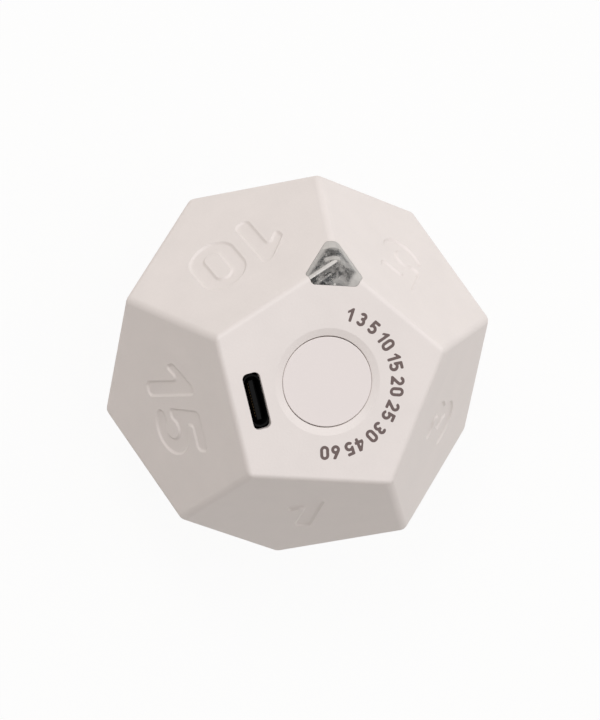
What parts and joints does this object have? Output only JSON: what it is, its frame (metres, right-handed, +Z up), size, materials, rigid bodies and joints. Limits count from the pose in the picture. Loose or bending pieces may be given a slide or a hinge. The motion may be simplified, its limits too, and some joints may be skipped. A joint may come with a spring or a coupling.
{
  "type": "flip timer",
  "caption": "Dodecahedron desk timer: turn a numbered face up to start that many minutes. Flush push button, USB-C charging socket and clear corner lens on one face.",
  "frame": {"origin": "middle of the blank base face, on the surface that the timer stands on", "axes": "+Z up through the middle of the button face, +Y towards the clear corner lens"},
  "size_m": [0.0622, 0.0652, 0.0534],
  "materials": {
    "shell": "fine matte moulded plastic, warm off-white",
    "button": "smooth matte moulded plastic, warm off-white",
    "clear_lens": "clear polished plastic",
    "socket_metal": "black coated steel sheet",
    "socket_plastic": "black moulded plastic",
    "contact_gold": "gold-plated strip",
    "board": "green solder mask on glass laminate",
    "tin": "tinned or plated steel",
    "chip_plastic": "black moulding compound",
    "plunger_plastic": "white moulded plastic",
    "light": "white frame with a pale yellow window",
    "capacitor": "tan ceramic",
    "copper": "enamelled copper winding",
    "cell_foil": "foil pouch",
    "guard_board": "blue solder mask on glass laminate",
    "foam": "grey adhesive foam",
    "lead_red": "red wire insulation",
    "lead_black": "black wire insulation",
    "connector": "natural moulded plastic"
  },
  "bodies": {
    "case": {"upper_shell": "shell", "lower_shell": "shell", "light_lens": "clear_lens", "usb_shell": "socket_metal", "usb_insert": "socket_plastic", "usb_contacts": "contact_gold", "main_board": "board", "board_screws": "tin", "switch_base": "chip_plastic", "switch_dome": "tin", "switch_cover": "tin", "switch_terminals": "tin", "status_led": "light", "controller_chip": "chip_plastic", "motion_sensor": "chip_plastic", "charger_chip": "chip_plastic", "chip_legs": "tin", "clock_crystal": "tin", "capacitors": "capacitor", "buzzer_case": "chip_plastic", "buzzer_diaphragm": "tin", "buzzer_coil": "copper", "battery_cell": "cell_foil", "battery_board": "guard_board", "battery_pad": "foam", "battery_lead_red": "lead_red", "battery_lead_black": "lead_black", "battery_plug": "connector", "battery_socket": "connector"},
    "button": {"button_cap": "button"},
    "plunger": {"switch_plunger": "plunger_plastic"}
  },
  "joints": [
    {"name": "button_press", "type": "slide", "parent": "case", "child": "button", "axis": [0, 0, -1], "range_m": [0, 0.0005], "stiffness_N_per_m": 2000},
    {"name": "plunger_press", "type": "slide", "parent": "case", "child": "plunger", "axis": [0, 0, -1], "range_m": [0, 0.0005], "deforming": ["switch_dome"]}
  ],
  "couplings": [
    {"joint": "plunger_press", "follows": "button_press", "ratio": 1}
  ]
}
